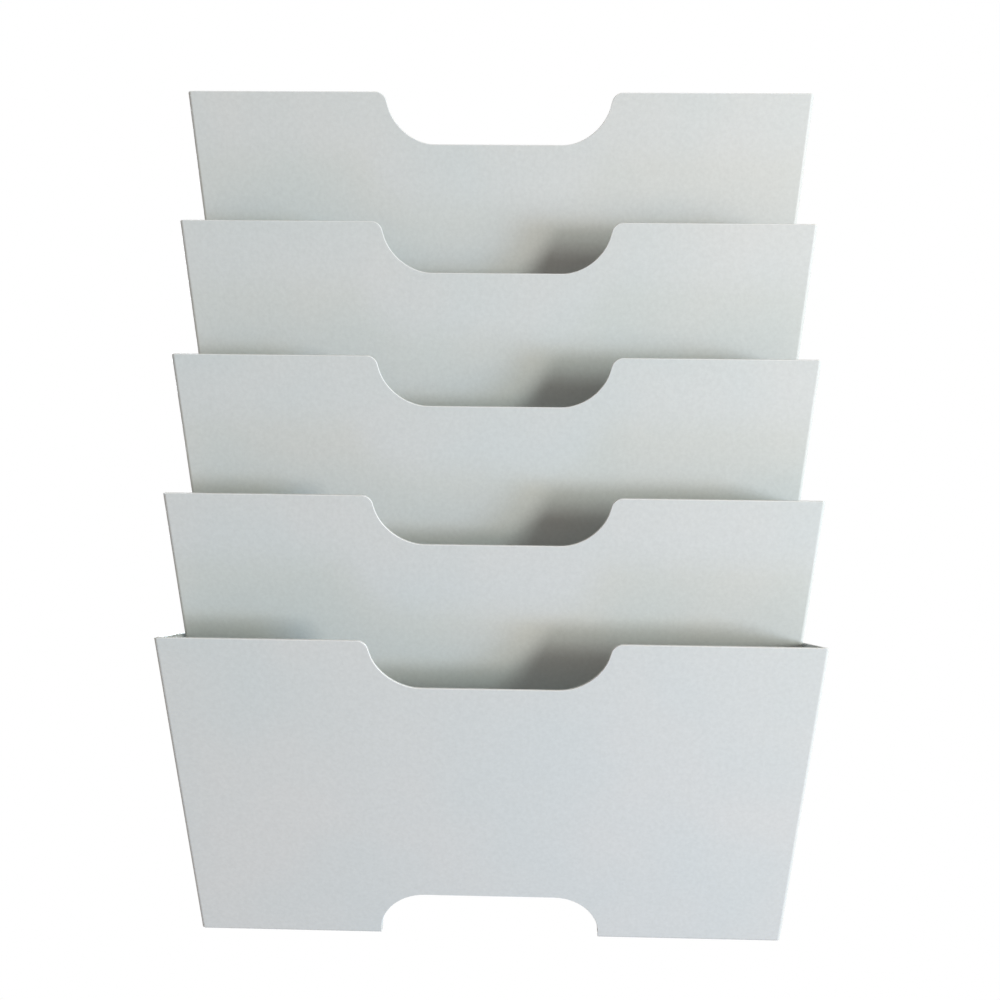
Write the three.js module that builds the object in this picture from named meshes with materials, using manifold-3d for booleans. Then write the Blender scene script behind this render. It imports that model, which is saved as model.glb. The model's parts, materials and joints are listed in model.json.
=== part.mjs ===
// Wall rack for medical charts: leaning sheet-steel trays, each hung on the tray above it.
// Millimetres. X runs across the rack, Y goes into the wall and Z is up.
// The origin is on the wall, in the middle of the back of the plate that the rack hangs by.

import * as THREE from 'three';
import { mergeVertices } from 'three/addons/utils/BufferGeometryUtils.js';
import Module from 'manifold-3d';

const wasm = await Module();
wasm.setup();

// Trays
const trayCount = 5;
const trayPitch = 70.7; // height from one tray to the next
const panelTopWidth = 325; // over the side folds, at the top edge
const panelHeight = 180; // along the slope
const panelLean = THREE.MathUtils.degToRad(30.8); // from upright
const floorDepth = 5; // narrow floor between the front panel and the wall
const sheet = 1.2;
const foldRadius = 2; // outside of the folds
const nestGap = 1.5; // between a tray's side wall and the wall of the tray above, which sits inside it

// Finger notch in the top edge of a front panel
const notchFloorWidth = 67.5; // flat part
const notchDepth = 26; // along the slope
const notchSideAngle = THREE.MathUtils.degToRad(75.5); // from the notch floor
const notchLipRadius = 5.4;
const notchFloorRadius = 25;

// Opening cut across the bottom fold, through the panel, the floor and the back
const footOpeningWidth = 117;
const footOpeningHeight = 26; // along the slope, from the fold
const footOpeningRadius = 24;

// Side walls
const wallOverlap = 18; // how far a wall reaches past the front panel of the tray above
const wallTopRise = THREE.MathUtils.degToRad(4.4); // the top edge climbs towards the back
const wallTopDrop = 0.4; // start of the top edge below the inner edge of the front panel
const wallCornerRadius = 5;

// Studs, and the hooked slots that hang on them
const studDiameter = 4;
const studHeadDiameter = 8;
const studHeadThickness = 1.5;
const studHeadChamfer = 0.4;
const studTailDiameter = 7;
const studTailThickness = 1;
const lowerStudHeight = 28; // above the floor of the tray that carries the stud
const upperStudDrop = 10; // below the top of the front panel of the tray that hangs on the stud
const liftHeight = 8; // travel of a tray before it comes off its studs
const slotClearance = 0.4; // each side of a stud in its slot
const slotHookRadius = 1; // inner corner between the two legs of a slot

// Backs
const backTopClearance = 2.5; // between a lifted back and the floor of the tray above
const lipToStudClearance = 2; // between a back's side lip and the tails of the studs
const wallPlateDrop = 14; // top of the wall plate below the top of the first front panel
const keyholeSpacing = 200;
const keyholeDrop = 30; // centre of the wide end below the top of the wall plate
const keyholeDiameter = 10;
const keyholeNeckWidth = 5;
const keyholeNeckHeight = 11; // from the centre of the wide end to the centre of the neck's round end

// Gap between pieces that are joined face to face
const seatGap = 0.3;

// Facets of the round stretches
const sweepFacets = 5;
const foldFacets = 2;
const roundFacets = 16;

// Worked out from the sizes above
const leanSlope = Math.tan(panelLean);
const panelRise = panelHeight * Math.cos(panelLean); // upright height of the front panel
const flare = (sheet + nestGap) / trayPitch; // sideways spread of a side wall for each unit of height
const flareAngle = Math.atan(flare);
const floorHalfWidth = panelTopWidth / 2 - flare * panelRise;
const wallStrip = trayPitch * leanSlope + wallOverlap; // level depth of a side wall
const studSetback = wallOverlap / 2; // level distance behind the outside of the front panel
const studHeights = {
  lower: lowerStudHeight,
  upper: panelRise - trayPitch - upperStudDrop,
};
const slotWidth = studDiameter + 2 * slotClearance;
const lipDepth = studDepth(lowerStudHeight) - studTailDiameter / 2 - lipToStudClearance;
const backBottom = sheet + seatGap;
const trayBackTop = trayPitch - liftHeight - backTopClearance;
const wallPlateTop = panelRise - wallPlateDrop;
const mountHeight = (backBottom + wallPlateTop) / 2; // of the origin, above the floor of the first tray
const beyond = panelTopWidth; // length by which a cutting prism runs past what it cuts

// Depth in front of the wall of a stud at a height above its tray's floor
function studDepth(height) {
  return floorDepth + height * leanSlope - studSetback;
}

// Closed outline through corners given as [x, y] or [x, y, radius]; the first two corners are sharp
function outline(corners) {
  const points = corners.map(([x, y]) => new THREE.Vector2(x, y));
  const shape = new THREE.Shape();
  shape.moveTo(points[0].x, points[0].y);
  for (let index = 1; index < corners.length; index += 1) {
    const corner = points[index];
    const radius = corners[index][2];
    if (!radius) {
      shape.lineTo(corner.x, corner.y);
      continue;
    }
    const back = points[index - 1].clone().sub(corner).normalize();
    const ahead = points[(index + 1) % points.length].clone().sub(corner).normalize();
    const half = back.angleTo(ahead) / 2;
    const centre = back.clone().add(ahead).setLength(radius / Math.sin(half)).add(corner);
    const start = back.clone().multiplyScalar(radius / Math.tan(half)).add(corner).sub(centre);
    const end = ahead.clone().multiplyScalar(radius / Math.tan(half)).add(corner).sub(centre);
    shape.absarc(centre.x, centre.y, radius, start.angle(), end.angle(), back.cross(ahead) > 0);
  }
  shape.closePath();
  return shape;
}

function extruded(shape, depth, curveSegments) {
  return new THREE.ExtrudeGeometry(shape, { depth, curveSegments, bevelEnabled: false });
}

function solidOf(geometry) {
  const bare = geometry.clone();
  bare.deleteAttribute('normal');
  bare.deleteAttribute('uv');
  const merged = mergeVertices(bare);
  const mesh = new wasm.Mesh({
    numProp: 3,
    vertProperties: Float32Array.from(merged.attributes.position.array),
    triVerts: Uint32Array.from(merged.index.array),
  });
  return new wasm.Manifold(mesh);
}

function geometryOf(solid) {
  const mesh = solid.getMesh();
  const geometry = new THREE.BufferGeometry();
  geometry.setAttribute('position', new THREE.BufferAttribute(mesh.vertProperties, mesh.numProp));
  geometry.setIndex(new THREE.BufferAttribute(mesh.triVerts, 1));
  geometry.computeVertexNormals();
  return geometry;
}

// Spreads both sides outwards with height, as the side walls of every tray do
function flared(geometry) {
  const position = geometry.attributes.position;
  for (let index = 0; index < position.count; index += 1) {
    const x = position.getX(index);
    position.setX(index, x + Math.sign(x) * flare * position.getZ(index));
  }
  return geometry;
}

// Prism across the whole rack from an outline of [y, z] corners
function crossPrism(shape, facets) {
  const across = new THREE.Matrix4().makeBasis(
    new THREE.Vector3(0, 1, 0),
    new THREE.Vector3(0, 0, 1),
    new THREE.Vector3(1, 0, 0),
  );
  const geometry = extruded(shape, 2 * beyond, facets).applyMatrix4(across);
  return solidOf(geometry.translate(-beyond, 0, 0));
}

// Prism square to the front panel from an outline of [x, slope] corners, measured from the bottom fold
function panelPrism(shape) {
  const slope = new THREE.Vector3(0, -Math.sin(panelLean), Math.cos(panelLean));
  const outward = new THREE.Vector3(0, -Math.cos(panelLean), -Math.sin(panelLean));
  const lean = new THREE.Matrix4().makeBasis(new THREE.Vector3(1, 0, 0), slope, outward);
  const geometry = extruded(shape, 2 * beyond, sweepFacets).translate(0, 0, -beyond);
  return solidOf(geometry.applyMatrix4(lean).translate(0, -floorDepth, 0));
}

// Prism through the back from an outline of [x, z] corners
function backPrism(shape) {
  const geometry = extruded(shape, 2 * beyond, sweepFacets).translate(0, 0, -beyond);
  return solidOf(geometry.rotateX(Math.PI / 2));
}

// Sheet folded to a U, upright: open at openY, with its web's closed side at webY
function foldedChannel(halfWidth, webY, webThickness, openY, height) {
  const inward = Math.sign(openY - webY);
  const inner = halfWidth - sheet;
  const innerRadius = foldRadius - sheet;
  const shape = outline([
    [-inner, openY],
    [-halfWidth, openY],
    [-halfWidth, webY, foldRadius],
    [halfWidth, webY, foldRadius],
    [halfWidth, openY],
    [inner, openY],
    [inner, webY + inward * webThickness, innerRadius],
    [-inner, webY + inward * webThickness, innerRadius],
  ]);
  return extruded(shape, height, foldFacets);
}

// Top edge of a side wall: its height at a depth in front of the wall
function wallTopAt(depth) {
  const panelTopDepth = floorDepth + panelHeight * Math.sin(panelLean) - sheet * Math.cos(panelLean);
  const panelTop = panelRise + sheet * Math.sin(panelLean);
  return panelTop - wallTopDrop + (panelTopDepth - depth) * Math.tan(wallTopRise);
}

// Side walls of the first tray reach the wall; the others stop behind the tray above
function wallOutline(reachesWall) {
  const front = beyond;
  const corners = [
    [0, 0],
    [-front, 0],
    [-front, wallTopAt(front)],
  ];
  if (reachesWall) {
    corners.push([0, wallTopAt(0), wallCornerRadius]);
  } else {
    const topRise = Math.tan(wallTopRise);
    const topAtWall = wallTopAt(0);
    const rearDepth = (floorDepth - wallStrip + topAtWall * leanSlope) / (1 + topRise * leanSlope);
    corners.push([-rearDepth, wallTopAt(rearDepth), wallCornerRadius]);
    corners.push([0, (wallStrip - floorDepth) / leanSlope, wallCornerRadius]);
  }
  return outline(corners);
}

// Front panel edge with its finger notch; everything below the top edge is kept
function panelOutline() {
  const floorCorner = notchFloorWidth / 2 + notchFloorRadius * Math.tan(notchSideAngle / 2);
  const lipCorner = floorCorner + notchDepth / Math.tan(notchSideAngle);
  const notchFloor = panelHeight - notchDepth;
  return outline([
    [-beyond, -beyond],
    [beyond, -beyond],
    [beyond, panelHeight],
    [lipCorner, panelHeight, notchLipRadius],
    [floorCorner, notchFloor, notchFloorRadius],
    [-floorCorner, notchFloor, notchFloorRadius],
    [-lipCorner, panelHeight, notchLipRadius],
    [-beyond, panelHeight],
  ]);
}

function footOutline() {
  const half = footOpeningWidth / 2;
  return outline([
    [-half, -beyond],
    [half, -beyond],
    [half, footOpeningHeight, footOpeningRadius],
    [-half, footOpeningHeight, footOpeningRadius],
  ]);
}

// Hooked slot round a stud of the tray above: in from the rear edge, then up to the stud
function slotOutline(studHeight) {
  const studY = -studDepth(studHeight);
  const hangHeight = studHeight + trayPitch;
  const half = slotWidth / 2;
  const mouthBottom = hangHeight - liftHeight - half;
  return outline([
    [beyond, mouthBottom],
    [beyond, mouthBottom + slotWidth],
    [studY + half, mouthBottom + slotWidth, slotHookRadius],
    [studY + half, hangHeight + half, slotHookRadius],
    [studY - half, hangHeight + half, slotHookRadius],
    [studY - half, mouthBottom, slotHookRadius],
  ]);
}

function studHole(studHeight) {
  const radius = studDiameter / 2 + seatGap;
  const hole = new THREE.CylinderGeometry(radius, radius, 2 * beyond, roundFacets);
  return solidOf(hole.rotateZ(Math.PI / 2).translate(0, -studDepth(studHeight), studHeight));
}

// Floor of a tray, with its front corners in the middle of the folds' thickness
function floorSheet() {
  const inset = foldRadius - (foldRadius - sheet / 2) * Math.SQRT1_2;
  const reach = floorDepth - inset;
  const floor = new THREE.BoxGeometry(2 * (floorHalfWidth - inset), reach, sheet);
  return solidOf(floor.translate(0, -reach / 2, sheet / 2));
}

// Front panel, side walls and floor of a tray, folded from one sheet
function trayFront(first, last) {
  const webThickness = sheet / Math.cos(panelLean);
  const channel = flared(foldedChannel(floorHalfWidth, -floorDepth, webThickness, beyond, 2 * panelRise));
  const lean = new THREE.Matrix4().makeShear(0, 0, 0, 0, 0, -leanSlope);
  const folded = solidOf(channel.applyMatrix4(lean));

  let body = folded.intersect(crossPrism(wallOutline(first), foldFacets));
  body = body.intersect(panelPrism(panelOutline())).add(floorSheet());
  body = body.subtract(panelPrism(footOutline()));
  for (const studHeight of Object.values(studHeights)) {
    if (!first) body = body.subtract(crossPrism(slotOutline(studHeight), foldFacets));
    if (!last) body = body.subtract(studHole(studHeight));
  }
  return geometryOf(body);
}

// Room behind a tray's front panel, clear of its inner face
function pocketOutline() {
  const frontY = (sheet + seatGap) / Math.cos(panelLean) - floorDepth;
  const top = 2 * panelRise;
  return outline([
    [beyond, 0],
    [beyond, top],
    [frontY - top * leanSlope, top],
    [frontY, 0],
  ]);
}

// Back with a lip along each side, which is joined to the inside of the tray's walls
function backSheet(top) {
  const halfWidth = floorHalfWidth - sheet - seatGap;
  const channel = foldedChannel(halfWidth, 0, sheet, -lipDepth, top - backBottom);
  const body = solidOf(flared(channel.translate(0, 0, backBottom)));
  return body.intersect(crossPrism(pocketOutline(), foldFacets)).subtract(backPrism(footOutline()));
}

// Wide round end to pass a screw's head, and a neck above it that hangs on the screw
function keyhole(x) {
  const centreHeight = wallPlateTop - keyholeDrop;
  const wide = new THREE.Shape();
  wide.absarc(x, centreHeight, keyholeDiameter / 2, 0, 2 * Math.PI);
  const neckTop = centreHeight + keyholeNeckHeight;
  const neck = new THREE.Shape();
  neck.moveTo(x - keyholeNeckWidth / 2, centreHeight);
  neck.lineTo(x + keyholeNeckWidth / 2, centreHeight);
  neck.absarc(x, neckTop, keyholeNeckWidth / 2, 0, Math.PI);
  neck.closePath();
  return backPrism(wide).add(backPrism(neck));
}

function wallPlate() {
  let body = backSheet(wallPlateTop);
  for (const side of [-1, 1]) body = body.subtract(keyhole(side * keyholeSpacing / 2));
  return geometryOf(body);
}

// Shoulder stud set in a side wall, its axis along Y and its zero on the wall's inner face
function studGeometry() {
  const hungWallFace = (flare * trayPitch + sheet) * Math.cos(flareAngle);
  const headFace = hungWallFace + seatGap;
  const headTop = headFace + studHeadThickness;
  const profile = [
    [0, -seatGap - studTailThickness],
    [studTailDiameter / 2, -seatGap - studTailThickness],
    [studTailDiameter / 2, -seatGap],
    [studDiameter / 2, -seatGap],
    [studDiameter / 2, headFace],
    [studHeadDiameter / 2, headFace],
    [studHeadDiameter / 2, headTop - studHeadChamfer],
    [studHeadDiameter / 2 - studHeadChamfer, headTop],
    [0, headTop],
  ];
  return new THREE.LatheGeometry(profile.map(([r, y]) => new THREE.Vector2(r, y)), roundFacets);
}

function paintedSheet() {
  return new THREE.MeshStandardMaterial({ color: 0xd2d6d6, roughness: 0.55, metalness: 0.05 });
}

function platedSteel() {
  return new THREE.MeshStandardMaterial({ color: 0xb4b8bb, roughness: 0.35, metalness: 0.9 });
}

function named(name, geometry, material) {
  const mesh = new THREE.Mesh(geometry, material);
  mesh.name = name;
  return mesh;
}

function addStuds(tray, trayName) {
  for (const [row, height] of Object.entries(studHeights)) {
    for (const [sideName, side] of [['left', -1], ['right', 1]]) {
      const stud = named(`${trayName}_stud_${row}_${sideName}`, studGeometry(), platedSteel());
      const axis = new THREE.Vector3(side, 0, -flare).normalize();
      stud.quaternion.setFromUnitVectors(new THREE.Vector3(0, 1, 0), axis);
      const innerFace = floorHalfWidth + flare * height - sheet;
      stud.position.set(side * innerFace, -studDepth(height), height);
      tray.add(stud);
    }
  }
}

const rack = new THREE.Group();
for (let index = 0; index < trayCount; index += 1) {
  const first = index === 0;
  const last = index === trayCount - 1;
  const trayName = `tray_${index + 1}`;
  const tray = new THREE.Group();
  tray.position.z = -mountHeight - index * trayPitch;
  tray.add(named(`${trayName}_front`, trayFront(first, last), paintedSheet()));
  if (first) {
    tray.add(named('wall_plate', wallPlate(), paintedSheet()));
  } else {
    tray.add(named(`${trayName}_back`, geometryOf(backSheet(trayBackTop)), paintedSheet()));
  }
  if (!last) addStuds(tray, trayName);
  rack.add(tray);
}

export default rack;
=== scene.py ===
# Wall rack for medical charts: painted sheet-steel trays on plated studs
import json
import math

import bmesh
import bpy
from mathutils import Matrix, Vector

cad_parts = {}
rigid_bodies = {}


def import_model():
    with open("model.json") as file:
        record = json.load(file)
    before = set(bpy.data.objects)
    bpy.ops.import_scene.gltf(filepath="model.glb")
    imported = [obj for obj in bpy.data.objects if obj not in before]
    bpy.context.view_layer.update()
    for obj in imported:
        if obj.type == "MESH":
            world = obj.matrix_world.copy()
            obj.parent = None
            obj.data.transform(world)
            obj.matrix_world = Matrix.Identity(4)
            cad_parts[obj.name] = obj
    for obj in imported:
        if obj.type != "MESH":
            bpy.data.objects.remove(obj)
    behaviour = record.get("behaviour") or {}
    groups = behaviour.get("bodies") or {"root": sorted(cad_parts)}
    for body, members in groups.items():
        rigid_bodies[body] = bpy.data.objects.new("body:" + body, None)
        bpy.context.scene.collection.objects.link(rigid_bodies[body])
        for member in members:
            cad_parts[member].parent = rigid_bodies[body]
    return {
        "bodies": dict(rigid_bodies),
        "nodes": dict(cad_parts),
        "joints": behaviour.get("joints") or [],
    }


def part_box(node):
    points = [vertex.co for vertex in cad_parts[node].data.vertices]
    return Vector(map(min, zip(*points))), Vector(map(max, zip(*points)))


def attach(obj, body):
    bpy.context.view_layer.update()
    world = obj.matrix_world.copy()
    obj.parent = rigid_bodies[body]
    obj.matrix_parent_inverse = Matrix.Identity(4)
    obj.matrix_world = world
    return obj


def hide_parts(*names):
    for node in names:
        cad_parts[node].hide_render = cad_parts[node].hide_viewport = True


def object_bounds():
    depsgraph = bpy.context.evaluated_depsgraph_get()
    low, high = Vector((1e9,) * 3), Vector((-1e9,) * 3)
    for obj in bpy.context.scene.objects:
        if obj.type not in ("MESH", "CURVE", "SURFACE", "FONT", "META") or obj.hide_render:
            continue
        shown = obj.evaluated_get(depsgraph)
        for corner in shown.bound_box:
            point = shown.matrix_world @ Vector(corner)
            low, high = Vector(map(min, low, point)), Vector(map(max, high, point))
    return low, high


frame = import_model()
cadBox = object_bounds()
print("frame loaded:", len(frame["nodes"]), "nodes")

mm = 0.001
tiny = 0.02 * mm  # how near a point has to be to count as picked

rack = {
    "lean": math.radians(30.8),  # front panels, from upright
    "sheet": 1.2 * mm,
    "foldRadius": 2 * mm,  # outside of the folds
    "foldSteps": 6,
    "nestGap": 1.5 * mm,  # between the side walls of neighbouring trays
    "seatGap": 0.3 * mm,  # between pieces joined face to face
    "floorDepth": 5 * mm,
    "footWidth": 117 * mm,  # opening across the bottom fold
    "footHeight": 26 * mm,  # along the panel, and up the back
    "footRadius": 24 * mm,
    "arcSteps": 14,  # in the wide corners of notches and bottom openings
    "edgeRound": 0.28 * mm,  # coat drawn round the cut edges
    "edgeSteps": 3,
    "sharpAngle": math.radians(40),  # edges that get the rounding
    "smoothAngle": math.radians(35),  # edges that shade as one surface
    "mergeGap": 0.13 * mm,  # slivers where folds meet
    "crowdedCorner": 6 * mm,  # bottom corners of a tray
}
cutters = {  # their far ends only have to clear the sheet
    "rodSides": 40,
    "notchThrough": 24 * mm,
    "footThrough": 104 * mm,
    "plateThrough": 9.6 * mm,
    "acrossRack": 390 * mm,
    "slotRun": 76.8 * mm,
}
trayCount = len(frame["bodies"])
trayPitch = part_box("tray_1_front")[0].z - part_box("tray_2_front")[0].z
flare = (rack["sheet"] + rack["nestGap"]) / trayPitch  # sideways spread of the walls with height
panelTurn = (math.pi / 2 + rack["lean"], 0, 0)  # stands a flat plate up as a front panel
slopeUp = Vector((0, -math.sin(rack["lean"]), math.cos(rack["lean"])))
panelOut = Vector((0, -math.cos(rack["lean"]), -math.sin(rack["lean"])))
studRows = ("lower", "upper")


# Working in object and edit mode

def clearSelection():
    if bpy.context.mode != "OBJECT":
        bpy.ops.object.mode_set(mode="OBJECT")
    bpy.ops.object.select_all(action="DESELECT")


def makeActive(piece):
    clearSelection()
    piece.select_set(True)
    bpy.context.view_layer.objects.active = piece


def startEdit(piece):
    makeActive(piece)
    bpy.ops.object.mode_set(mode="EDIT")


def endEdit():
    bpy.ops.object.mode_set(mode="OBJECT")


def pick(piece, kind, test):  # selects the points, edges or faces whose corners pass the test
    bpy.ops.mesh.select_mode(type=kind)
    bpy.ops.mesh.select_all(action="DESELECT")
    shape = bmesh.from_edit_mesh(piece.data)
    for part in {"VERT": shape.verts, "EDGE": shape.edges, "FACE": shape.faces}[kind]:
        corners = [part.co] if kind == "VERT" else [corner.co for corner in part.verts]
        if test(corners):
            part.select_set(True)
    bmesh.update_edit_mesh(piece.data)


def near(point, target):
    return (point - Vector(target)).length < tiny


def both(corners, test):
    return all(test(corner) for corner in corners)


def oneSide(corners):  # all on the left half, or all on the right
    return both(corners, lambda c: c.x > 0) or both(corners, lambda c: c.x < 0)


def throughEdge(x, level, height):  # finds the edges through the sheet at a corner of an opening
    def test(edge):
        atCorner = both(edge, lambda c: abs(abs(c.x) - x) < tiny and abs(height(c) - level) < tiny)
        return atCorner and oneSide(edge)
    return test


def slide(x, y, z):
    bpy.ops.mesh.extrude_region_move(TRANSFORM_OT_translate={"value": (x, y, z)})


def settle(name, size):  # gives a new primitive its name and size, with its place in its mesh
    piece = bpy.context.object
    piece.name = name
    piece.data.name = name
    piece.scale = size
    bpy.ops.object.transform_apply(location=True, rotation=True, scale=True)
    return piece


def addPlate(name, centre, turn, width, height):  # a flat sheet, with its coat and, for its cut edge, a lighter colour as a painted highlight
    clearSelection()
    bpy.ops.mesh.primitive_plane_add(size=1, location=centre, rotation=turn)
    plate = settle(name, (width, height, 1))
    plate.data.materials.append(powderCoat)
    plate.data.materials.append(edgeHighlight)
    return plate


def addBlock(name, centre, turn, size):
    clearSelection()
    bpy.ops.mesh.primitive_cube_add(size=1, location=centre, rotation=turn)
    return settle(name, size)


def addRod(name, centre, turn, radius, length):
    clearSelection()
    bpy.ops.mesh.primitive_cylinder_add(
        vertices=cutters["rodSides"], radius=radius, depth=length, location=centre, rotation=turn
    )
    return settle(name, (1, 1, 1))


def applyModifier(piece, name, kind, **settings):
    makeActive(piece)
    modifier = piece.modifiers.new(name, kind)
    for setting, value in settings.items():
        setattr(modifier, setting, value)
    bpy.ops.object.modifier_apply(modifier=modifier.name)


def cut(piece, cutter):  # the faces that a cut leaves take the lighter cut-edge colour, a painted highlight
    cutter.data.materials.append(edgeHighlight)
    applyModifier(
        piece, "cut", "BOOLEAN", object=cutter, operation="DIFFERENCE", solver="EXACT",
        material_mode="TRANSFER",
    )
    bpy.data.objects.remove(cutter)


def roundCorners(piece, kind, radius, angle, steps, test):  # angle is the corner's own
    startEdit(piece)
    pick(piece, kind, test)
    affect = "VERTICES" if kind == "VERT" else "EDGES"
    bpy.ops.mesh.bevel(offset=radius / math.tan(angle / 2), segments=steps, affect=affect)
    endEdit()


def faceTowards(piece, way):  # turns a sheet over if its largest face looks the other way
    if max(piece.data.polygons, key=lambda face: face.area).normal.dot(way) < 0:
        piece.data.flip_normals()


def thicken(piece):
    # the rim of the sheet takes the lighter cut-edge colour, a painted highlight
    applyModifier(
        piece, "sheet", "SOLIDIFY", thickness=rack["sheet"], offset=-1, use_even_offset=True,
        use_quality_normals=True, material_offset_rim=1,
    )


def roundEdges(piece, crowded):  # leaves the corners where several folds meet
    startEdit(piece)
    bpy.ops.mesh.select_all(action="SELECT")
    bpy.ops.mesh.remove_doubles(threshold=rack["mergeGap"])
    bpy.ops.mesh.select_mode(type="EDGE")
    bpy.ops.mesh.select_all(action="DESELECT")
    bpy.ops.mesh.edges_select_sharp(sharpness=rack["sharpAngle"])
    shape = bmesh.from_edit_mesh(piece.data)
    for edge in shape.edges:
        if edge.select and any(crowded(corner.co) for corner in edge.verts):
            edge.select_set(False)
    bmesh.update_edit_mesh(piece.data)
    # the rounded edges take the lighter cut-edge colour, a painted highlight
    bpy.ops.mesh.bevel(
        offset=rack["edgeRound"], segments=rack["edgeSteps"], affect="EDGES", material=1
    )
    endEdit()


def finishSheet(piece, body, node, crowded):  # soft cut edges, smooth folds, flat faces
    roundEdges(piece, crowded)
    makeActive(piece)
    bpy.ops.object.shade_smooth_by_angle(angle=rack["smoothAngle"])
    applyModifier(piece, "shading", "WEIGHTED_NORMAL", keep_sharp=True)
    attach(piece, body)
    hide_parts(node)


# Materials

noiseSpan = (0.3, 0.7)  # most of a noise texture lies between these
grainNoise = {"detail": 3, "roughness": 0.6}
patchNoise = {"detail": 2, "roughness": 0.5}


def newMaterial(name):
    material = bpy.data.materials.new(name)
    material.use_nodes = True
    return material, material.node_tree.nodes, material.node_tree.links


def placed(nodes, kind, **settings):
    node = nodes.new(kind)
    for setting, value in settings.items():
        setattr(node, setting, value)
    return node


def makeCoatGrain():  # fine skin of sprayed and baked powder
    group = bpy.data.node_groups.new("coatGrain", "ShaderNodeTree")
    for name in ("Grain Size", "Patch Size"):
        group.interface.new_socket(name=name, in_out="INPUT", socket_type="NodeSocketFloat")
    for name in ("Speckle", "Patch", "Height"):
        group.interface.new_socket(name=name, in_out="OUTPUT", socket_type="NodeSocketFloat")
    nodes, links = group.nodes, group.links
    sizes = nodes.new("NodeGroupInput")
    out = nodes.new("NodeGroupOutput")
    place = nodes.new("ShaderNodeTexCoord")

    def noise(sizeName, detail, roughness):
        scale = placed(nodes, "ShaderNodeMath", operation="DIVIDE")
        scale.inputs[0].default_value = 1
        links.new(sizes.outputs[sizeName], scale.inputs[1])
        texture = nodes.new("ShaderNodeTexNoise")
        texture.inputs["Detail"].default_value = detail
        texture.inputs["Roughness"].default_value = roughness
        links.new(place.outputs["Object"], texture.inputs["Vector"])
        links.new(scale.outputs[0], texture.inputs["Scale"])
        return texture.outputs["Fac"]

    grain = noise("Grain Size", **grainNoise)
    patch = noise("Patch Size", **patchNoise)
    links.new(grain, out.inputs["Height"])
    links.new(grain, out.inputs["Speckle"])
    links.new(patch, out.inputs["Patch"])
    return group


coatGrain = makeCoatGrain()


def placeGrain(nodes, look):
    grain = placed(nodes, "ShaderNodeGroup", node_tree=coatGrain)
    grain.inputs["Grain Size"].default_value = look["grainSize"]
    grain.inputs["Patch Size"].default_value = look["patchSize"]
    return grain


def ramp(nodes, span, colours):
    node = nodes.new("ShaderNodeValToRGB")
    for stop, position, colour in zip(node.color_ramp.elements, span, colours):
        stop.position = position
        stop.color = (*colour, 1)
    return node


def varyRoughness(nodes, links, noise, look):
    spread = nodes.new("ShaderNodeMapRange")
    for end, value, roughness in zip(("Min", "Max"), noiseSpan, look["roughness"]):
        spread.inputs["From " + end].default_value = value
        spread.inputs["To " + end].default_value = roughness
    links.new(noise, spread.inputs["Value"])
    links.new(spread.outputs["Result"], nodes["Principled BSDF"].inputs["Roughness"])


def paintedSteel(name, look):
    material, nodes, links = newMaterial(name)
    shader = nodes["Principled BSDF"]
    shader.inputs["Specular IOR Level"].default_value = look["specular"]
    grain = placeGrain(nodes, look)
    tint = ramp(nodes, look["tintSpan"], (look["coolTint"], look["warmTint"]))
    links.new(grain.outputs["Patch"], tint.inputs["Fac"])
    speckle = ramp(nodes, noiseSpan, ((1 - look["speckle"],) * 3, (1, 1, 1)))
    links.new(grain.outputs["Speckle"], speckle.inputs["Fac"])
    colour = placed(nodes, "ShaderNodeMix", data_type="RGBA", blend_type="MULTIPLY")
    colour.inputs["Factor"].default_value = 1
    links.new(tint.outputs["Color"], colour.inputs["A"])
    links.new(speckle.outputs["Color"], colour.inputs["B"])
    links.new(colour.outputs["Result"], shader.inputs["Base Color"])
    varyRoughness(nodes, links, grain.outputs["Patch"], look)
    bump = nodes.new("ShaderNodeBump")
    bump.inputs["Strength"].default_value = look["bump"]
    bump.inputs["Distance"].default_value = look["bumpDepth"]
    links.new(grain.outputs["Height"], bump.inputs["Height"])
    links.new(bump.outputs["Normal"], shader.inputs["Normal"])
    return material


coatLook = {
    "coolTint": (0.60, 0.64, 0.64),
    "warmTint": (0.635, 0.648, 0.64),
    "tintSpan": (0.32, 0.68),
    "speckle": 0.07,
    "grainSize": 2 * mm,
    "patchSize": 90 * mm,
    "roughness": (0.42, 0.5),
    "specular": 0.3,
    "bump": 0.35,
    "bumpDepth": 0.06 * mm,
}
# cut edges coloured lighter than the coat, a painted highlight along every edge; they are also a little
# glossier
edgeHighlightLook = {
    **coatLook,
    "coolTint": (0.74, 0.77, 0.77),
    "warmTint": (0.78, 0.79, 0.79),
    "roughness": (0.32, 0.4),
}
powderCoat = paintedSteel("powderCoat", coatLook)
edgeHighlight = paintedSteel("edgeHighlight", edgeHighlightLook)

zincLook = {
    "light": (0.74, 0.75, 0.76),
    "dark": (0.58, 0.60, 0.62),
    "metallic": 0.95,
    "grainSize": 0.35 * mm,
    "patchSize": 3 * mm,
    "roughness": (0.24, 0.42),
}


def platedSteel(name, look):
    material, nodes, links = newMaterial(name)
    shader = nodes["Principled BSDF"]
    shader.inputs["Metallic"].default_value = look["metallic"]
    grain = placeGrain(nodes, look)
    colour = ramp(nodes, noiseSpan, (look["dark"], look["light"]))
    links.new(grain.outputs["Patch"], colour.inputs["Fac"])
    links.new(colour.outputs["Color"], shader.inputs["Base Color"])
    varyRoughness(nodes, links, grain.outputs["Speckle"], look)
    return material


zincPlate = platedSteel("zincPlate", zincLook)
print("materials ready")


# Tray fronts

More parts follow.
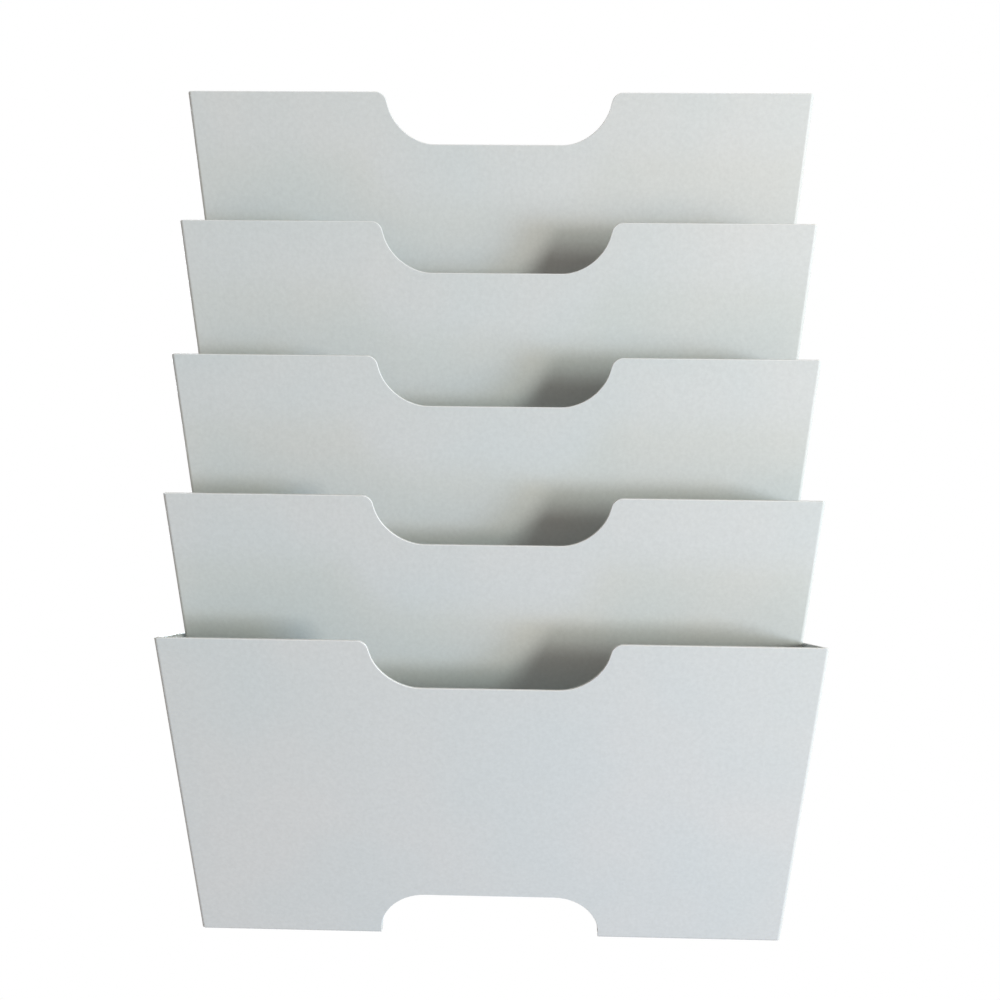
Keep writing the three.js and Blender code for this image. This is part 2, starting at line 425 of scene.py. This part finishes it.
trayFrontShape = {
    "panelTopWidth": 325 * mm,
    "panelHeight": 180 * mm,  # along the slope
    "wallOverlap": 18 * mm,  # side wall behind the front panel of the tray above
    "wallTrim": 1.2,  # the top tray's walls start this much too deep, and the wall trims them
    "wallTopRise": math.radians(4.4),
    "wallCornerRadius": 5 * mm,
    "cornerSteps": 8,
    "floorFold": 1 * mm,
    "floorFoldSteps": 4,
    "notchFloorWidth": 67.5 * mm,
    "notchDepth": 26 * mm,
    "notchSideAngle": math.radians(75.5),
    "notchLipRadius": 5.4 * mm,
    "notchFloorRadius": 25 * mm,
    "slotWidth": 4.8 * mm,
    "slotHookRadius": 1 * mm,
    "slotHookSteps": 4,
    "studHoleRadius": 2.3 * mm,
}
panelHeight = trayFrontShape["panelHeight"]
panelTopHalf = trayFrontShape["panelTopWidth"] / 2
panelBottomHalf = panelTopHalf - flare * panelHeight * slopeUp.z


def onPanel(floorZ, x, along):  # point on the outside of a front panel
    return Vector((x, -rack["floorDepth"], floorZ)) + slopeUp * along


def alongPanel(floorZ, point):
    return (point - onPanel(floorZ, 0, 0)).dot(slopeUp)


def studSpot(tray, row):  # depth and height of a pair of studs
    low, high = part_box(f"tray_{tray}_stud_{row}_left")
    return (low.y + high.y) / 2, (low.z + high.z) / 2


def foldTray(name, floorZ, first):
    shape = trayFrontShape
    middle = onPanel(floorZ, 0, panelHeight / 2)
    piece = addPlate(name, middle, panelTurn, 2 * panelBottomHalf, panelHeight)
    topFront = onPanel(floorZ, panelTopHalf, panelHeight)
    bottomFront = onPanel(floorZ, panelBottomHalf, 0)
    if first:
        reach = shape["wallTrim"] * abs(topFront.y)
    else:
        reach = trayPitch * math.tan(rack["lean"]) + shape["wallOverlap"]
    rise = math.tan(shape["wallTopRise"])
    lift = reach * rise / (slopeUp.z - slopeUp.y * rise)  # along the slope
    topRear = topFront + Vector((flare * slopeUp.z, slopeUp.y, slopeUp.z)) * lift + Vector((0, reach, 0))

    def bottomCorner(point):
        return near(point, (math.copysign(bottomFront.x, point.x), *bottomFront.yz))

    startEdit(piece)
    pick(piece, "EDGE", lambda edge: both(edge, lambda c: c.z > topFront.z - tiny))
    spread = panelTopHalf / panelBottomHalf
    bpy.ops.transform.resize(value=(spread, 1, 1), center_override=(0, topFront.y, topFront.z))
    pick(piece, "EDGE", oneSide)
    slide(0, reach, 0)
    for side in (-1, 1):  # the walls' top edges climb towards the back
        corner = Vector((side * topFront.x, topFront.y + reach, topFront.z))
        pick(piece, "VERT", lambda point: near(point[0], corner))
        shift = Vector((side * topRear.x, topRear.y, topRear.z)) - corner
        bpy.ops.transform.translate(value=shift)
    bpy.ops.mesh.select_all(action="SELECT")
    bpy.ops.mesh.bisect(plane_co=(0, 0, 0), plane_no=(0, 1, 0), clear_outer=True)
    pick(piece, "EDGE", lambda edge: both(edge, bottomCorner))
    slide(0, rack["floorDepth"], 0)
    bpy.ops.mesh.select_all(action="SELECT")
    bpy.ops.mesh.remove_doubles(threshold=tiny)
    bpy.ops.mesh.normals_make_consistent(inside=False)
    endEdit()
    faceTowards(piece, panelOut)
    return piece, topFront, topRear


def roundWallCorners(piece, floorZ, topFront, topRear, first):
    def topAtWall(point):
        return point[0].z > topFront.z + tiny and point[0].y > -tiny

    def topBehind(point):
        return point[0].z > topRear.z - tiny

    def kneeAtWall(point):
        return abs(point[0].y) < tiny and point[0].z > floorZ + tiny

    shape = trayFrontShape
    radius, steps = shape["wallCornerRadius"], shape["cornerSteps"]
    square = math.pi / 2 - shape["wallTopRise"]
    if first:
        roundCorners(piece, "VERT", radius, square, steps, topAtWall)
        return
    roundCorners(piece, "VERT", radius, square + rack["lean"], steps, topBehind)
    roundCorners(piece, "VERT", radius, math.pi - rack["lean"], steps, kneeAtWall)


def roundFolds(piece, floorZ):
    def sideFold(edge):
        onFront = both(edge, lambda c: abs((c - onPanel(floorZ, 0, 0)).dot(panelOut)) < tiny)
        return onFront and oneSide(edge)

    def floorFold(edge):
        return both(edge, lambda c: abs(c.z - floorZ) < tiny) and not both(edge, lambda c: c.y > -tiny)

    shape = trayFrontShape
    roundCorners(piece, "EDGE", rack["foldRadius"], math.pi / 2, rack["foldSteps"], sideFold)
    roundCorners(piece, "EDGE", shape["floorFold"], math.pi / 2, shape["floorFoldSteps"], floorFold)


def cutNotch(piece, floorZ):
    shape = trayFrontShape
    side, depth = shape["notchSideAngle"], shape["notchDepth"]
    cornerX = shape["notchFloorWidth"] / 2 + shape["notchFloorRadius"] * math.tan(side / 2)
    lipX = cornerX + depth / math.tan(side)
    tall = 2 * depth
    topX = cornerX + tall / math.tan(side)
    floorAlong = panelHeight - depth
    middle = onPanel(floorZ, 0, floorAlong + tall / 2)
    cutter = addBlock("notchCutter", middle, panelTurn, (2 * cornerX, tall, cutters["notchThrough"]))
    startEdit(cutter)
    pick(cutter, "VERT", lambda point: alongPanel(floorZ, point[0]) > floorAlong + tall / 2)
    topMiddle = onPanel(floorZ, 0, floorAlong + tall)
    bpy.ops.transform.resize(value=(topX / cornerX, 1, 1), center_override=topMiddle)
    endEdit()
    cut(piece, cutter)

    def along(point):
        return alongPanel(floorZ, point)

    corner = math.pi - side
    floorCorner = throughEdge(cornerX, floorAlong, along)
    roundCorners(piece, "EDGE", shape["notchFloorRadius"], corner, rack["arcSteps"], floorCorner)
    lipCorner = throughEdge(lipX, panelHeight, along)
    roundCorners(piece, "EDGE", shape["notchLipRadius"], corner, shape["cornerSteps"], lipCorner)


def cutFootOpening(piece, floorZ):
    half, tall = rack["footWidth"] / 2, rack["footHeight"]
    size = (2 * half, 2 * tall, cutters["footThrough"])
    cut(piece, addBlock("footCutter", onPanel(floorZ, 0, 0), panelTurn, size))
    corner = throughEdge(half, tall, lambda c: alongPanel(floorZ, c))
    roundCorners(piece, "EDGE", rack["footRadius"], math.pi / 2, rack["arcSteps"], corner)


def cutHookedSlot(piece, studY, studZ, lift):  # in from the rear edge, then up to the stud
    shape = trayFrontShape
    width, run = shape["slotWidth"], cutters["slotRun"]
    front, rear = studY - width / 2, studY + width / 2
    mouthZ = studZ - lift
    mouthLow, mouthHigh = mouthZ - width / 2, mouthZ + width / 2
    top = studZ + width / 2
    corners = ((front, mouthLow), (front, top), (rear, top), (rear, mouthHigh))

    def roof(point):
        return point.z > mouthHigh - tiny and point.y < rear + tiny

    def slotCorner(edge):
        return any(both(edge, lambda c: abs(c.y - y) < tiny and abs(c.z - z) < tiny) for y, z in corners)

    size = (cutters["acrossRack"], run, width)
    cutter = addBlock("slotCutter", (0, front + run / 2, mouthZ), (0, 0, 0), size)
    startEdit(cutter)
    bpy.ops.mesh.select_all(action="SELECT")
    bpy.ops.mesh.bisect(plane_co=(0, rear, 0), plane_no=(0, 1, 0))
    pick(cutter, "FACE", lambda face: both(face, roof))
    slide(0, 0, lift)
    pick(cutter, "EDGE", slotCorner)
    bpy.ops.mesh.bevel(
        offset=shape["slotHookRadius"], segments=shape["slotHookSteps"], affect="EDGES"
    )
    endEdit()
    cut(piece, cutter)


def cutStudHole(piece, studY, studZ):
    radius = trayFrontShape["studHoleRadius"]
    sideways = (0, math.pi / 2, 0)
    cut(piece, addRod("holeCutter", (0, studY, studZ), sideways, radius, cutters["acrossRack"]))


def bottomCorners(floorZ):  # finds the points near them
    room = rack["crowdedCorner"]
    return lambda point: point.z < floorZ + room and abs(point.x) > panelBottomHalf - room


for tray in range(1, trayCount + 1):
    node = f"tray_{tray}_front"
    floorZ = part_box(node)[0].z
    first = tray == 1
    trayFront, topFront, topRear = foldTray(f"tray_{tray}_folded_front", floorZ, first)
    roundWallCorners(trayFront, floorZ, topFront, topRear, first)
    roundFolds(trayFront, floorZ)
    thicken(trayFront)
    cutNotch(trayFront, floorZ)
    cutFootOpening(trayFront, floorZ)
    if not first:
        lift = frame["joints"][tray - 2]["range_m"][1]
        for row in studRows:
            cutHookedSlot(trayFront, *studSpot(tray - 1, row), lift)
    if tray < trayCount:
        for row in studRows:
            cutStudHole(trayFront, *studSpot(tray, row))
    finishSheet(trayFront, f"tray_{tray}", node, bottomCorners(floorZ))
    print(node, "folded:", len(trayFront.data.polygons), "faces")


# Backs and the wall plate

keyholeShape = {
    "spacing": 200 * mm,
    "drop": 30 * mm,  # centre of the wide end below the top of the plate
    "diameter": 10 * mm,
    "neckWidth": 5 * mm,
    "neckHeight": 11 * mm,
    "neckRound": 0.999,  # share of its half width, so that the two corners don't quite meet
    "neckSteps": 10,
}


def foldBack(name, node, floorZ):
    low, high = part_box(node)
    tall = high.z - low.z
    topHalf = high.x
    bottomHalf = topHalf - flare * tall
    piece = addPlate(name, (0, high.y, low.z + tall / 2), (-math.pi / 2, 0, 0), 2 * bottomHalf, tall)
    startEdit(piece)
    pick(piece, "EDGE", lambda edge: both(edge, lambda c: c.z > high.z - tiny))
    bpy.ops.transform.resize(value=(topHalf / bottomHalf, 1, 1), center_override=(0, high.y, high.z))
    pick(piece, "EDGE", oneSide)
    slide(0, low.y - high.y, 0)
    bpy.ops.mesh.select_all(action="SELECT")
    pocketY = (rack["sheet"] + rack["seatGap"]) / math.cos(rack["lean"]) - rack["floorDepth"]
    bpy.ops.mesh.bisect(plane_co=(0, pocketY, floorZ), plane_no=panelOut, clear_outer=True)
    bpy.ops.mesh.select_all(action="SELECT")
    bpy.ops.mesh.normals_make_consistent(inside=False)
    endEdit()
    faceTowards(piece, Vector((0, 1, 0)))

    def lipFold(edge):
        return both(edge, lambda c: c.y > high.y - tiny) and abs(edge[0].z - edge[1].z) > tiny

    roundCorners(piece, "EDGE", rack["foldRadius"], math.pi / 2, rack["foldSteps"], lipFold)
    thicken(piece)
    half, opening = rack["footWidth"] / 2, rack["footHeight"]
    cut(piece, addBlock("footCutter", (0, 0, floorZ), (0, 0, 0), (2 * half, 2 * opening, 2 * opening)))
    corner = throughEdge(half, floorZ + opening, lambda c: c.z)
    roundCorners(piece, "EDGE", rack["footRadius"], math.pi / 2, rack["arcSteps"], corner)
    return piece


def cutKeyholes(piece, plateTop):
    shape = keyholeShape
    through = cutters["plateThrough"]
    centreZ = plateTop - shape["drop"]
    neckZ = centreZ + shape["neckHeight"]

    def neckCorner(edge):
        return both(edge, lambda c: c.z > neckZ - tiny) and abs(edge[0].y - edge[1].y) > tiny

    for x in (-shape["spacing"] / 2, shape["spacing"] / 2):
        forwards = (math.pi / 2, 0, 0)
        cut(piece, addRod("keyholeCutter", (x, 0, centreZ), forwards, shape["diameter"] / 2, through))
        size = (shape["neckWidth"], through, neckZ - centreZ)
        neck = addBlock("neckCutter", (x, 0, (centreZ + neckZ) / 2), (0, 0, 0), size)
        startEdit(neck)
        pick(neck, "EDGE", neckCorner)
        bpy.ops.mesh.bevel(
            offset=shape["neckRound"] * shape["neckWidth"] / 2, segments=shape["neckSteps"], affect="EDGES"
        )
        endEdit()
        cut(piece, neck)


for tray in range(1, trayCount + 1):
    node = "wall_plate" if tray == 1 else f"tray_{tray}_back"
    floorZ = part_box(f"tray_{tray}_front")[0].z
    name = "folded_wall_plate" if tray == 1 else f"tray_{tray}_folded_back"
    back = foldBack(name, node, floorZ)
    if tray == 1:
        cutKeyholes(back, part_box(node)[1].z)
    finishSheet(back, f"tray_{tray}", node, lambda point: False)
    print(node, "folded:", len(back.data.polygons), "faces")


# Studs

studShape = {
    "sides": 48,
    "tailRadius": 3.5 * mm,
    "tailThickness": 1 * mm,
    "shankRadius": 2 * mm,
    "shankLength": 4.5 * mm,
    "headRadius": 4 * mm,
    "headThickness": 1.5 * mm,
    "chamfer": 0.4 * mm,
    "edgeRound": 0.12 * mm,
    "edgeSteps": 3,
    "sharpAngle": math.radians(30),
}


def turnStud():  # lying along Z, with its middle at the origin
    shape = studShape
    total = shape["tailThickness"] + shape["shankLength"] + shape["headThickness"]
    clearSelection()
    bpy.ops.mesh.primitive_circle_add(
        vertices=shape["sides"], radius=shape["tailRadius"], fill_type="NGON", location=(0, 0, -total / 2)
    )
    stud = settle("studPattern", (1, 1, 1))
    startEdit(stud)
    bpy.ops.mesh.select_all(action="SELECT")
    radius = shape["tailRadius"]
    steps = [
        (shape["tailThickness"], shape["tailRadius"]),
        (0, shape["shankRadius"]),
        (shape["shankLength"], shape["shankRadius"]),
        (0, shape["headRadius"]),
        (shape["headThickness"] - shape["chamfer"], shape["headRadius"]),
        (shape["chamfer"], shape["headRadius"] - shape["chamfer"]),
    ]
    for up, nextRadius in steps:
        slide(0, 0, up)
        bpy.ops.transform.resize(value=(nextRadius / radius, nextRadius / radius, 1))
        radius = nextRadius
    bpy.ops.mesh.select_all(action="SELECT")
    bpy.ops.mesh.normals_make_consistent(inside=False)
    endEdit()
    applyModifier(
        stud, "edges", "BEVEL", width=shape["edgeRound"], segments=shape["edgeSteps"],
        limit_method="ANGLE", angle_limit=shape["sharpAngle"],
    )
    stud.data.materials.append(zincPlate)
    return stud


studPattern = turnStud()
for tray in range(1, trayCount):
    for row in studRows:
        for sideName, side in (("left", -1), ("right", 1)):
            node = f"tray_{tray}_stud_{row}_{sideName}"
            low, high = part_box(node)
            makeActive(studPattern)
            bpy.ops.object.duplicate()
            stud = bpy.context.object
            stud.name = f"tray_{tray}_zinc_stud_{row}_{sideName}"
            stud.data.name = stud.name
            outwards = Vector((side, 0, -flare))
            stud.rotation_euler = outwards.to_track_quat("Z", "Y").to_euler()
            stud.location = (low + high) / 2
            bpy.ops.object.transform_apply(location=True, rotation=True, scale=True)
            bpy.ops.object.shade_smooth_by_angle(angle=rack["smoothAngle"])
            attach(stud, f"tray_{tray}")
            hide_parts(node)
bpy.data.objects.remove(studPattern)
print("studs turned and set")


# Camera

cameraView = {
    "place": (16.83 * mm, -625.7 * mm, -209.3 * mm),
    "target": (2.69 * mm, -41.7 * mm, -121.5 * mm),
    "roll": math.radians(0.96),
    "lens": 39.4,
    "nearest": 10 * mm,
}
cameraData = bpy.data.cameras.new("camera")
cameraData.lens = cameraView["lens"]
cameraData.clip_start = cameraView["nearest"]
camera = bpy.data.objects.new("camera", cameraData)
bpy.context.scene.collection.objects.link(camera)
camera.location = cameraView["place"]
aim = Vector(cameraView["target"]) - camera.location
turn = aim.to_track_quat("-Z", "Y").to_matrix() @ Matrix.Rotation(cameraView["roll"], 3, "Z")
camera.rotation_euler = turn.to_euler()
bpy.context.scene.camera = camera


# Light, floor and background

rackMiddle = (cadBox[0] + cadBox[1]) / 2
lights = {  # turn is to the right of straight ahead, and rise is above the level, in degrees
    "windowMiddle": {
        "turn": 43, "rise": 0, "distance": 4, "size": 0.9, "power": 64, "colour": (0.89, 0.98, 0.91),
    },
    "windowLow": {
        "turn": 43, "rise": -12, "distance": 4, "size": 0.9, "power": 49, "colour": (1, 0.95, 0.89),
    },
    "windowRight": {
        "turn": 56, "rise": -12, "distance": 4, "size": 0.9, "power": 45, "colour": (0.43, 0.65, 1),
    },
    "windowNear": {  # fades across the panels
        "turn": 62, "rise": -5, "distance": 0.85, "size": 0.3, "power": 2.2, "colour": (1, 0.92, 0.82),
    },
    "skyBelow": {  # cool light that reaches the lowest panel most
        "turn": 25, "rise": -64, "distance": 0.85, "size": 0.3, "power": 0.6, "colour": (0.35, 0.5, 1),
    },
    "behind": {
        "turn": 205, "rise": 20, "distance": 1.6, "size": 1, "power": 22, "colour": (0.82, 0.92, 1),
    },
}


def addAreaLight(name, light):
    data = bpy.data.lights.new(name, "AREA")
    data.shape = "DISK"
    data.size = light["size"]
    data.energy = light["power"]
    data.color = light["colour"]
    lamp = bpy.data.objects.new(name, data)
    bpy.context.scene.collection.objects.link(lamp)
    turn, rise = math.radians(light["turn"]), math.radians(light["rise"])
    way = Vector((math.sin(turn) * math.cos(rise), -math.cos(turn) * math.cos(rise), math.sin(rise)))
    lamp.location = rackMiddle + way * light["distance"]
    lamp.rotation_euler = (-way).to_track_quat("-Z", "Y").to_euler()


for name, light in lights.items():
    addAreaLight(name, light)

backdrop = {
    "floorDrop": 650 * mm,  # below the rack
    "floorSize": 12,
    "floorColour": (0.86, 0.87, 0.87),
    "floorRoughness": 0.9,
    "floorWhite": 0.75,  # share of plain white that the camera sees in the floor under the rack
    "floorFade": (0.5, 1.6),  # it is all white past the second distance
    "ambient": (0.36, 0.315, 0.28),  # warm light of the room, left in the deep shadows
}


def whiteToCamera(nodes, links):  # 1 where the background is seen directly or in a reflection
    path = nodes.new("ShaderNodeLightPath")
    total = path.outputs["Is Camera Ray"]
    for ray in ("Is Glossy Ray", "Is Transmission Ray"):
        node = placed(nodes, "ShaderNodeMath", operation="MAXIMUM")
        links.new(total, node.inputs[0])
        links.new(path.outputs[ray], node.inputs[1])
        total = node.outputs[0]
    return total


def makeFloor():
    clearSelection()
    below = (0, 0, cadBox[0].z - backdrop["floorDrop"])
    bpy.ops.mesh.primitive_plane_add(size=backdrop["floorSize"], location=below)
    floor = bpy.context.object
    floor.name = "floor"
    material, nodes, links = newMaterial("paleFloor")
    shader = nodes["Principled BSDF"]
    shader.inputs["Base Color"].default_value = (*backdrop["floorColour"], 1)
    shader.inputs["Roughness"].default_value = backdrop["floorRoughness"]
    glow = nodes.new("ShaderNodeEmission")
    place = nodes.new("ShaderNodeTexCoord")
    distance = placed(nodes, "ShaderNodeVectorMath", operation="LENGTH")
    links.new(place.outputs["Object"], distance.inputs[0])
    fade = placed(nodes, "ShaderNodeMapRange", interpolation_type="SMOOTHSTEP")
    fade.inputs["From Min"].default_value = backdrop["floorFade"][0]
    fade.inputs["From Max"].default_value = backdrop["floorFade"][1]
    fade.inputs["To Min"].default_value = backdrop["floorWhite"]
    links.new(distance.outputs["Value"], fade.inputs["Value"])
    share = placed(nodes, "ShaderNodeMath", operation="MULTIPLY")
    links.new(whiteToCamera(nodes, links), share.inputs[0])
    links.new(fade.outputs["Result"], share.inputs[1])
    mix = nodes.new("ShaderNodeMixShader")
    links.new(share.outputs[0], mix.inputs["Fac"])
    links.new(shader.outputs["BSDF"], mix.inputs[1])
    links.new(glow.outputs["Emission"], mix.inputs[2])
    links.new(mix.outputs["Shader"], nodes["Material Output"].inputs["Surface"])
    floor.data.materials.append(material)
    floor.visible_diffuse = False  # it takes the shadow, and throws no light or shade on the rack
    floor.visible_shadow = False


def makeWorld():
    world = bpy.data.worlds.new("studio")
    world.use_nodes = True
    nodes, links = world.node_tree.nodes, world.node_tree.links
    soft = nodes["Background"]
    soft.inputs["Color"].default_value = (*backdrop["ambient"], 1)
    white = nodes.new("ShaderNodeBackground")
    white.inputs["Color"].default_value = (1, 1, 1, 1)
    mix = nodes.new("ShaderNodeMixShader")
    links.new(whiteToCamera(nodes, links), mix.inputs["Fac"])
    links.new(soft.outputs["Background"], mix.inputs[1])
    links.new(white.outputs["Background"], mix.inputs[2])
    links.new(mix.outputs["Shader"], nodes["World Output"].inputs["Surface"])
    bpy.context.scene.world = world


makeFloor()
makeWorld()
bpy.context.scene.view_settings.view_transform = "Standard"
print("camera, light and floor ready")

clearSelection()
